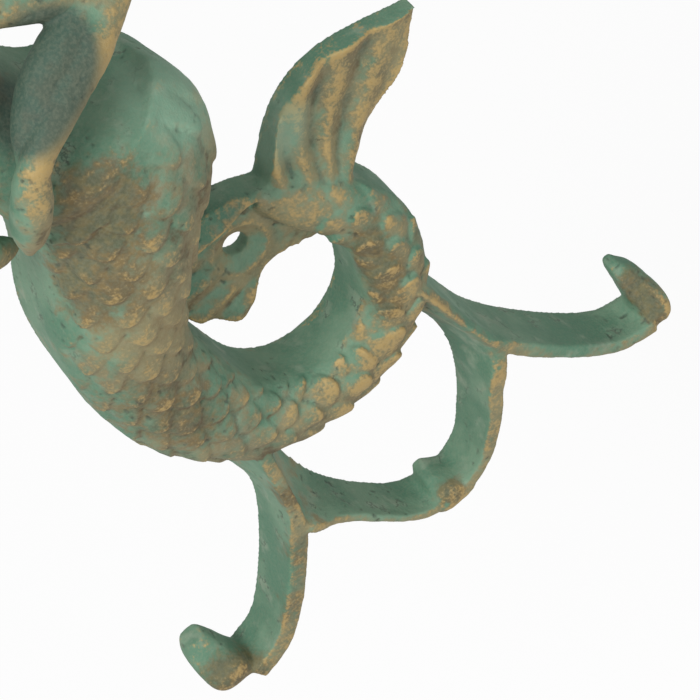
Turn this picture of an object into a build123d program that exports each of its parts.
"""Mermaid key hook: one casting with a flat back that is screwed to a wall.

The scaled tail comes down from the hips, curls once into a ring and ends in a two-lobed fin.
Blade-shaped hooks fan out below the ring. Millimetres, +Z up, front towards -Y, wall plane at Y = 0.
The origin is where the axis of the lower screw hole meets the wall.
"""

import os
from math import ceil, cos, hypot, pi, sin, sqrt

from build123d import *

# Screw holes, countersunk for a small wood screw
screw_hole_radius = 1.5
countersink_radius = 3.0
countersink_angle = 90
upper_hole_height = 87.0
lug_radius = 5.2
lug_thickness = 3.0

# How far every form reaches behind the wall plane before the back is cut flat
back_allowance = 1.5

# Tail stations from the hips to the fin: centre x, centre z, width, crown depth, depth of the smooth side
tail_stations = [
    (-4.6, 34.6, 21.4, 16.6, 8.2),
    (-4.3, 29.0, 22.8, 16.8, 8.5),
    (-8.8, 20.2, 18.0, 16.7, 8.5),
    (-14.3, 11.0, 15.8, 15.0, 8.0),
    (-16.7, 1.2, 14.0, 13.0, 7.3),
    (-16.2, -8.6, 13.6, 11.8, 6.8),
    (-13.2, -17.2, 11.6, 10.6, 6.4),
    (-7.2, -22.4, 9.7, 9.7, 6.2),
    (1.4, -23.6, 8.7, 9.1, 6.0),
    (9.4, -19.2, 8.6, 8.8, 5.8),
    (12.8, -10.6, 8.4, 8.4, 5.5),
    (11.3, -3.6, 7.6, 7.3, 4.9),
    (8.2, 0.4, 6.6, 6.0, 4.3),
]

# Scale rows: length at the hips and at the fin, how far a scale's rim and its seams stand proud,
# where a scale's shoulders lie between its seams, and how many scales lie across the front
scale_length_hips = 4.3
scale_length_fin = 2.9
scale_relief = 0.55
scale_valley = 0.12
scale_shoulders = (0.25, 0.75)
scales_across_hips = 5
scales_across_ring = 3
narrow_from = 0.42

# Tail fin: each lobe is a ribbed leaf that lies against the wall, its edges listed from the root outwards
fin_root = (9.2, -1.2)
fin_plate = 2.3
fin_border_height = 3.1
fin_rib_height = 1.1
fin_rib_width = 2.3
fin_rib_root_share = 0.45
fin_rib_end_share = 0.7
upper_lobe_top_edge = [(6.4, 4.6), (13.4, 11.3), (20.4, 13.2), (31.0, 10.0)]
upper_lobe_low_edge = [(13.2, -2.4), (19.0, 0.9), (26.4, 4.0), (31.0, 10.0)]
upper_lobe_border = [fin_root, (15.4, 8.6), (21.0, 11.0), (31.0, 10.0)]
upper_lobe_rib_ends = [(19.4, 12.5), (25.3, 11.1), (29.3, 9.3), (26.0, 5.1), (20.2, 2.5)]
screw_lobe_border_height = 5.0
screw_lobe_top_edge = [(8.8, 3.8), (5.4, 5.4), (1.0, 7.4), (-10.0, 9.5)]
screw_lobe_low_edge = [(8.6, -7.2), (1.4, -5.4), (-4.5, -9.4)]
screw_lobe_end_edge = [(-4.5, -9.4), (-7.6, -3.2), (-10.0, 0.4)]
screw_lobe_border = [fin_root, (4.2, 2.2), (-1.0, 5.0), (-10.0, 7.2)]

# Hook blades: they stand square to the wall, deep at the root and shallower at the tips
hook_axis_x = -0.4
loop_axis_x = 0.1
blade_thickness = 1.9
blade_depth = 8.7
tip_depth = 6.6
loop_bottom_depth = 6.4
side_blade_path = [
    (13.2, -23.0), (14.3, -30.0), (15.5, -35.3), (18.6, -42.0), (23.9, -50.4), (28.0, -54.9), (32.6, -56.5),
]
loop_path = [
    (12.6, -23.0), (13.0, -30.0), (12.9, -35.0), (12.2, -40.6),
    (10.6, -45.2), (8.3, -49.6), (4.9, -54.2), (0.0, -56.0),
]
tip_overlap = 0.8
tip_belly_rise = 3.6
nub_rise = 2.3
nub_width = 4.6

# Thorns at the ends of the side blades: rise, width at the root, at the top and at the heel, outward lean;
# the left one is fatter and leans further out
right_thorn = (8.6, 5.0, 1.9, 3.0, 0.5)
left_thorn = (7.9, 6.3, 2.3, 4.4, 1.9)

# Torso stations from the hips to the neck: centre x, height, width, depth in front of the wall, straight side
torso_stations = [
    (-5.0, 28.6, 19.0, 14.2, 7.4),
    (-4.6, 33.8, 21.9, 16.9, 8.3),
    (-5.8, 36.6, 20.2, 16.2, 6.8),
    (-10.2, 40.4, 14.8, 13.4, 4.4),
    (-11.8, 44.8, 13.0, 12.2, 3.4),
    (-13.0, 50.0, 14.2, 12.6, 3.2),
    (-14.3, 56.4, 17.6, 14.0, 3.4),
    (-14.6, 60.6, 17.8, 11.4, 3.0),
    (-14.5, 63.6, 9.6, 9.9, 2.4),
    (-14.4, 68.2, 7.2, 9.6, 2.4),
]

# Arms: stations of x, y, z and radius, each forearm with its hand, the left one bent across the hips,
# with a web of metal in the crook of its elbow
left_upper_arm = [(-6.2, -7.6, 58.2, 3.0), (0.2, -9.6, 53.6, 2.7), (7.0, -10.6, 48.0, 2.3)]
left_forearm = [
    (7.0, -10.6, 48.0, 2.3), (2.4, -14.0, 46.2, 2.3), (-3.6, -16.6, 45.1, 2.0), (-9.2, -18.0, 43.6, 1.6),
    (-11.6, -17.9, 40.6, 2.1), (-13.8, -16.6, 36.6, 1.8), (-15.5, -14.4, 32.4, 0.6),
]
left_elbow_web = [
    (6.4, -10.0, 48.0, 2.2), (3.0, -9.4, 47.4, 2.4), (0.2, -9.0, 47.8, 2.2), (-1.4, -8.8, 48.4, 0.8),
]
right_upper_arm = [(-23.0, -7.0, 58.0, 3.0), (-26.0, -8.0, 52.0, 2.7), (-27.2, -9.0, 45.6, 2.2)]
right_forearm = [
    (-27.2, -9.0, 45.6, 2.2), (-25.2, -11.0, 40.6, 2.1), (-22.0, -12.6, 35.6, 1.6),
    (-20.0, -13.2, 32.6, 1.9), (-18.0, -12.8, 29.4, 1.6), (-16.4, -11.6, 26.2, 0.6),
]

# How far beyond its first station a limb is rounded off, in shares of the radius there
joint_round = (0.5, 0.8, 0.95)

# Spacing of the levels that the figure's rounded forms are drawn through, and facets round a limb or the head
level_step = 2.8
facets_round = 14

# Head stations from the chin to the crown: forward place of the centre, height above the chin, width, depth
head_centre_x = -14.4
chin_height = 66.0
head_stations = [
    (-10.9, 0.0, 4.4, 4.0),
    (-9.9, 1.5, 6.8, 7.2),
    (-8.5, 4.4, 9.0, 10.4),
    (-7.5, 8.2, 10.4, 12.4),
    (-7.2, 11.8, 10.2, 12.0),
    (-7.0, 14.4, 7.0, 8.4),
    (-6.9, 15.7, 2.6, 3.2),
]

# Nose, from the bridge to the tip: height above the chin, half width and how far forward its ridge lies
nose_stations = [(8.8, 0.5, -13.6), (5.2, 1.2, -15.0)]
nose_depth = 2.2

# Hair from the crown to the ends of the locks: centre x, height, width, depth, straight side,
# with combed flutes across its front and the share of the radius left in a hollow
hair_stations = [
    (-14.4, 83.2, 4.0, 6.4, 2.0),
    (-14.4, 81.2, 10.4, 11.2, 3.0),
    (-14.4, 78.0, 12.8, 11.6, 4.0),
    (-14.5, 74.0, 13.6, 9.4, 4.0),
    (-14.8, 69.0, 14.6, 7.4, 3.4),
    (-15.4, 62.0, 18.6, 6.0, 3.0),
    (-17.0, 53.0, 18.4, 5.0, 2.4),
    (-19.0, 45.0, 12.4, 4.2, 2.0),
    (-20.4, 39.0, 6.4, 3.2, 1.4),
    (-21.0, 35.0, 2.4, 2.0, 0.8),
]
hair_flutes = 7
flute_hollow = 0.92


def flow_knots(stations, axes=2):
    """Distance of each station along the line through them; the first values of a station are its place."""
    knots = [0.0]
    for a, b in zip(stations, stations[1:]):
        knots.append(knots[-1] + hypot(*[q - p for p, q in zip(a[:axes], b[:axes])]))
    return knots


def flow(stations, distance, axes=2):
    """Read a row of stations at a distance along their line, on a smooth cubic through them."""
    knots = flow_knots(stations, axes)
    last = len(stations) - 1
    slopes = []
    for i in range(last + 1):
        lo, hi = max(i - 1, 0), min(i + 1, last)
        slopes.append([(q - p) / (knots[hi] - knots[lo]) for p, q in zip(stations[lo], stations[hi])])
    i = max(k for k in range(last) if knots[k] <= distance + 1e-9)
    h = knots[i + 1] - knots[i]
    t = (distance - knots[i]) / h
    start, end = (1 + 2 * t) * (1 - t) ** 2, t * t * (3 - 2 * t)
    leave, arrive = h * t * (1 - t) ** 2, h * t * t * (t - 1)
    return [
        start * p + end * q + leave * m + arrive * n
        for p, q, m, n in zip(stations[i], stations[i + 1], slopes[i], slopes[i + 1])
    ]


def flow_samples(stations, axes=2):
    """Evenly spaced readings of a row of stations, about one level step apart."""
    total = flow_knots(stations, axes)[-1]
    count = ceil(total / level_step)
    return [flow(stations, total * i / count, axes) for i in range(count + 1)]


def tail_plane(distance):
    """Section plane across the tail: its x runs across the tail, its y towards the front."""
    step = 0.05
    total = flow_knots(tail_stations)[-1]
    before = flow(tail_stations, max(distance - step, 0.0))
    after = flow(tail_stations, min(distance + step, total))
    dx, dz = after[0] - before[0], after[1] - before[1]
    x, z = flow(tail_stations, distance)[:2]
    return Plane(origin=(x, 0, z), x_dir=(-dz, 0, dx), z_dir=(dx, 0, dz))


def tail_section(distance, seams, proud_middle=0.0, proud_seam=0.0):
    """Closed section of the tail: flat back, straight sides and a domed front of flat-topped scales."""
    _, _, width, crown, side = flow(tail_stations, distance)
    dome = crown - side

    def front(angle, proud):
        return ((width / 2 + proud) * cos(angle), side + (dome + proud) * sin(angle))

    with BuildSketch(tail_plane(distance)) as section:
        with BuildLine():
            points = [front(seams[0], 0.0)]
            for a, b in zip(seams, seams[1:]):
                points += [front(a + (b - a) * share, proud_middle) for share in scale_shoulders]
                points.append(front(b, proud_seam if b < seams[-1] else 0.0))
            back = -back_allowance
            Polyline(*points, (-width / 2, back), (width / 2, back), close=True)
        make_face()
    return section.sketch


def scale_seams(row, count):
    """Angles of the seams between scales, every other row shifted by half a scale."""
    step = pi / count
    if row % 2 == 0:
        return [i * step for i in range(count + 1)]
    return [0.0] + [(i + 0.5) * step for i in range(count)] + [pi]


# Tail: one flared collar for each row of scales, the next collar starting inside the rim of the last
tail_length = flow_knots(tail_stations)[-1]
row_marks = [0.0]
while row_marks[-1] < tail_length:
    share = row_marks[-1] / tail_length
    row_marks.append(row_marks[-1] + scale_length_hips + (scale_length_fin - scale_length_hips) * share)
row_marks = [mark * tail_length / row_marks[-1] for mark in row_marks]

with BuildPart() as tail:
    for row, (begin, end) in enumerate(zip(row_marks, row_marks[1:])):
        across = scales_across_hips if begin < narrow_from * tail_length else scales_across_ring
        seams = scale_seams(row, across)
        rim = tail_section(end, seams, scale_relief, scale_valley)
        loft([tail_section(begin, seams), rim], ruled=True)


def fin_rib(end, base, height):
    """One fin ray: a three-sided bar that widens from the fin root to its end."""
    run = Vector(end[0] - fin_root[0], 0, end[1] - fin_root[1])
    across = Vector(-run.Z, 0, run.X).normalized()
    start = Plane(origin=(fin_root[0], -base, fin_root[1]), x_dir=across, z_dir=run)
    finish = Plane(origin=(end[0], -base, end[1]), x_dir=across, z_dir=run)
    profiles = []
    for plane, width_share, height_share in ((start, fin_rib_root_share, 1), (finish, 1, fin_rib_end_share)):
        half = fin_rib_width * width_share / 2
        rise = height * height_share
        with BuildSketch(plane) as profile:
            with BuildLine():
                Polyline((-half, -base), (-half, 0), (0, rise), (half, 0), (half, -base), close=True)
            make_face()
        profiles.append(profile.sketch)
    loft(profiles, ruled=True)


def midway(edge, other):
    """Line halfway between two edges, so that a plate ends inside the border that covers it."""
    return [((a + c) / 2, (b + d) / 2) for (a, b), (c, d) in zip(edge, other)]


# Upper lobe of the fin, a leaf with a raised upper border and rays that spread from the root
with BuildPart() as upper_lobe:
    with BuildSketch(Plane.XZ.offset(-back_allowance)):
        with BuildLine():
            Spline(*upper_lobe_top_edge)
            Spline(*upper_lobe_border)
            Line(upper_lobe_top_edge[0], upper_lobe_border[0])
        make_face()
    extrude(amount=back_allowance + fin_border_height)
    under_border = midway(upper_lobe_top_edge, upper_lobe_border)
    with BuildSketch(Plane.XZ.offset(-back_allowance)):
        with BuildLine():
            Spline(*under_border)
            Spline(*upper_lobe_low_edge)
            Line(under_border[0], upper_lobe_low_edge[0])
        make_face()
    extrude(amount=back_allowance + fin_plate)
    for rib_end in upper_lobe_rib_ends:
        fin_rib(rib_end, fin_plate, fin_rib_height)

# Lower lobe, carried to the trunk, with the lower screw hole through it
with BuildPart() as screw_lobe:
    with BuildSketch(Plane.XZ.offset(-back_allowance)):
        with BuildLine():
            Spline(*screw_lobe_top_edge)
            Spline(*screw_lobe_border)
            Line(screw_lobe_top_edge[0], screw_lobe_border[0])
            Line(screw_lobe_top_edge[-1], screw_lobe_border[-1])
        make_face()
    extrude(amount=back_allowance + screw_lobe_border_height)
    under_border = midway(screw_lobe_top_edge, screw_lobe_border)
    with BuildSketch(Plane.XZ.offset(-back_allowance)):
        with BuildLine():
            Spline(*under_border)
            Polyline(*screw_lobe_end_edge, under_border[-1])
            Spline(*screw_lobe_low_edge)
            Line(screw_lobe_low_edge[0], under_border[0])
        make_face()
    extrude(amount=back_allowance + fin_plate)
    with Locations(Plane.XZ.offset(fin_plate)):
        CounterSinkHole(screw_hole_radius, countersink_radius, counter_sink_angle=countersink_angle)


def blade_outline(path_points, axis_x):
    """Face of a curved blade: its centre line set off by half the thickness to either side."""
    with BuildLine(Plane.XZ, mode=Mode.PRIVATE) as centre:
        path = Spline(*[(axis_x + x, z) for x, z in path_points])
    marks = [i / len(path_points) for i in range(len(path_points) + 1)]
    sides = []
    for sign in (1, -1):
        edge = []
        for mark in marks:
            p, t = path @ mark, path % mark
            edge.append((p.X - sign * t.Z * blade_thickness / 2, p.Z + sign * t.X * blade_thickness / 2))
        sides.append(edge)
    with BuildSketch(Plane.XZ.offset(-back_allowance)) as outline:
        with BuildLine():
            Spline(*sides[0])
            Line(sides[0][-1], sides[1][-1])
            Spline(*reversed(sides[1]))
            Line(sides[1][0], sides[0][0])
        make_face()
    return outline.sketch


def sloped_front(z_deep, z_shallow, shallow_depth):
    """Plane that trims a blade's front edge from its full depth to a smaller one further down."""
    run = Vector(0, blade_depth - shallow_depth, z_shallow - z_deep)
    return Plane(origin=(0, -blade_depth, z_deep), x_dir=(1, 0, 0), z_dir=run.cross(Vector(1, 0, 0)))


end_x, end_z = hook_axis_x + side_blade_path[-1][0], side_blade_path[-1][1]
blade_floor = end_z - blade_thickness / 2
blade_top = end_z + blade_thickness / 2


def thorn(rise, root_width, top_width, heel_width, lean):
    """Thorn at the end of the right blade: it turns up, narrows to its top and slopes back at the front."""
    inner_x = end_x - tip_overlap
    top_x = inner_x + lean
    top_z = blade_top + rise
    heel_x = inner_x + heel_width
    with BuildPart() as form:
        with BuildSketch(Plane.XZ.offset(-back_allowance)):
            with BuildLine():
                Spline(
                    (inner_x, blade_top),
                    (top_x, top_z - top_width),
                    (top_x + top_width / 2, top_z),
                    (top_x + top_width, top_z - top_width / 2),
                    (inner_x + root_width, blade_floor + tip_belly_rise),
                    (heel_x, blade_floor),
                )
                Polyline((heel_x, blade_floor), (inner_x, blade_floor), (inner_x, blade_top))
            make_face()
        extrude(amount=back_allowance + tip_depth)
        slope = Plane(
            origin=(0, -tip_depth, blade_top),
            x_dir=(1, 0, 0),
            z_dir=(0, -rise, tip_depth - top_width),
        )
        split(bisect_by=slope, keep=Keep.BOTTOM)
    return form.part


# Side blade, which runs out and down from the ring to the thorn
with BuildPart() as side_blade:
    extrude(blade_outline(side_blade_path, hook_axis_x), amount=back_allowance + blade_depth)
    split(bisect_by=sloped_front(side_blade_path[2][1], blade_top, tip_depth), keep=Keep.BOTTOM)

# Loop blade, which falls from the root and meets its mirror image in the middle
with BuildPart() as loop_blade:
    extrude(blade_outline(loop_path, loop_axis_x), amount=back_allowance + blade_depth)
    split(bisect_by=sloped_front(loop_path[3][1], loop_path[-1][1], loop_bottom_depth), keep=Keep.BOTTOM)
    mirror(about=Plane.YZ.offset(loop_axis_x))

# Nub in the middle of the loop, the third hook: a low ridge that slopes down to the front
with BuildPart() as nub:
    loop_top = loop_path[-1][1] + blade_thickness / 2
    with BuildSketch(Plane.XZ.offset(-back_allowance)):
        with BuildLine():
            Polyline(
                (loop_axis_x, loop_top + nub_rise),
                (loop_axis_x + nub_width / 2, loop_top - blade_thickness / 2),
                (loop_axis_x - nub_width / 2, loop_top - blade_thickness / 2),
                close=True,
            )
        make_face()
    extrude(amount=back_allowance + loop_bottom_depth)
    slope = Plane(
        origin=(0, -loop_bottom_depth, loop_top),
        x_dir=(1, 0, 0),
        z_dir=(0, -nub_rise, loop_bottom_depth),
    )
    split(bisect_by=slope, keep=Keep.BOTTOM)

with BuildPart() as hooks:
    add(side_blade.part)
    add(thorn(*left_thorn))
    mirror(about=Plane.YZ.offset(hook_axis_x), mode=Mode.REPLACE)
    for form in (side_blade.part, thorn(*right_thorn), loop_blade.part, nub.part):
        add(form)


def limb(stations):
    """Round limb along a smooth line through the stations, its start rounded off as a joint is."""
    samples = flow_samples(stations, axes=3)
    places = [Vector(*s[:3]) for s in samples]
    radii = [s[3] for s in samples]
    leave = (places[0] - places[1]).normalized()
    for share in joint_round:
        places.insert(0, Vector(*stations[0][:3]) + leave * stations[0][3] * share)
        radii.insert(0, stations[0][3] * sqrt(1 - share**2))
    discs = []
    for i, radius in enumerate(radii):
        direction = places[min(i + 1, len(places) - 1)] - places[max(i - 1, 0)]
        across = Vector(0, 1, 0).cross(direction)
        with BuildSketch(Plane(origin=places[i], x_dir=across, z_dir=direction)) as disc:
            RegularPolygon(radius, facets_round)
        discs.append(disc.sketch)
    loft(discs, ruled=True)


def half_ovals(stations, flutes=0):
    """Levels of half ovals with a flat back, joined: centre x, height, width, depth and straight side.

    With flutes the front of each oval is a row of straight ridges and hollows, as combed hair is.
    """
    levels = []
    for x, z, width, depth, side in flow_samples(stations):
        with BuildSketch(Plane(origin=(x, 0, z), x_dir=(1, 0, 0), z_dir=(0, 0, -1))) as level:
            with BuildLine():
                if flutes:
                    ridges = []
                    for i in range(2 * flutes + 1):
                        reach = 1 if i % 2 == 0 else flute_hollow
                        angle = pi * i / (2 * flutes)
                        out, up = reach * width / 2, reach * (depth - side)
                        ridges.append((out * cos(angle), side + up * sin(angle)))
                    Polyline(*ridges)
                else:
                    EllipticalCenterArc((0, side), width / 2, depth - side, arc_size=180)
                Polyline(
                    (-width / 2, side), (-width / 2, -back_allowance),
                    (width / 2, -back_allowance), (width / 2, side),
                )
            make_face()
        levels.append(level.sketch)
    loft(levels, ruled=True)


# Torso, smooth from the hips to the neck
with BuildPart() as torso:
    half_ovals(torso_stations)

# Arms with their hands
arm_stations = (left_upper_arm, left_forearm, left_elbow_web, right_upper_arm, right_forearm)
limbs = []
for stations in arm_stations:
    with BuildPart() as piece:
        limb(stations)
    limbs.append(piece)

# Head, level ovals from the chin to the crown
with BuildPart() as head:
    ovals = []
    for y, rise, width, depth in flow_samples(head_stations):
        turns = [2 * pi * i / facets_round for i in range(facets_round)]
        with BuildSketch(Plane(origin=(head_centre_x, y, chin_height + rise))) as oval:
            with BuildLine():
                Polyline(*[(width / 2 * cos(a), depth / 2 * sin(a)) for a in turns], close=True)
            make_face()
        ovals.append(oval.sketch)
    loft(ovals, ruled=True)

# Nose, a plain ridge that widens to its tip
with BuildPart() as nose:
    wedges = []
    for rise, half_width, y in nose_stations:
        with BuildSketch(Plane(origin=(head_centre_x, y, chin_height + rise))) as wedge:
            with BuildLine():
                Polyline((0, 0), (half_width, nose_depth), (-half_width, nose_depth), close=True)
            make_face()
        wedges.append(wedge.sketch)
    loft(wedges, ruled=True)

# Hair, a cap that falls behind the shoulders against the wall
with BuildPart() as hair:
    half_ovals(hair_stations, hair_flutes)

# Lug: a round ear behind the crown for the upper screw
with BuildPart() as lug:
    with BuildSketch(Plane.XZ.offset(-back_allowance)):
        with Locations((head_centre_x, upper_hole_height)):
            Circle(lug_radius)
        with Locations((head_centre_x, upper_hole_height - lug_radius)):
            Rectangle(2 * lug_radius, 2 * lug_radius)
    extrude(amount=back_allowance + lug_thickness)

# Casting: everything joined, the back cut flat at the wall plane
with BuildPart() as casting:
    for form in (tail, upper_lobe, screw_lobe, hooks, torso, *limbs, head, nose, hair, lug):
        add(form.part)
    split(bisect_by=Plane.XZ, keep=Keep.TOP)
    with Locations(Plane(origin=(head_centre_x, -lug_thickness, upper_hole_height), z_dir=(0, -1, 0))):
        CounterSinkHole(screw_hole_radius, countersink_radius, counter_sink_angle=countersink_angle)

casting.part.label = "mermaid_hook_casting"
os.makedirs("parts", exist_ok=True)
export_step(casting.part, "parts/mermaid_hook_casting.step")
print("solids", len(casting.part.solids()), "faces", len(casting.part.faces()))
print("volume", round(casting.part.volume), "size", casting.part.bounding_box().size)
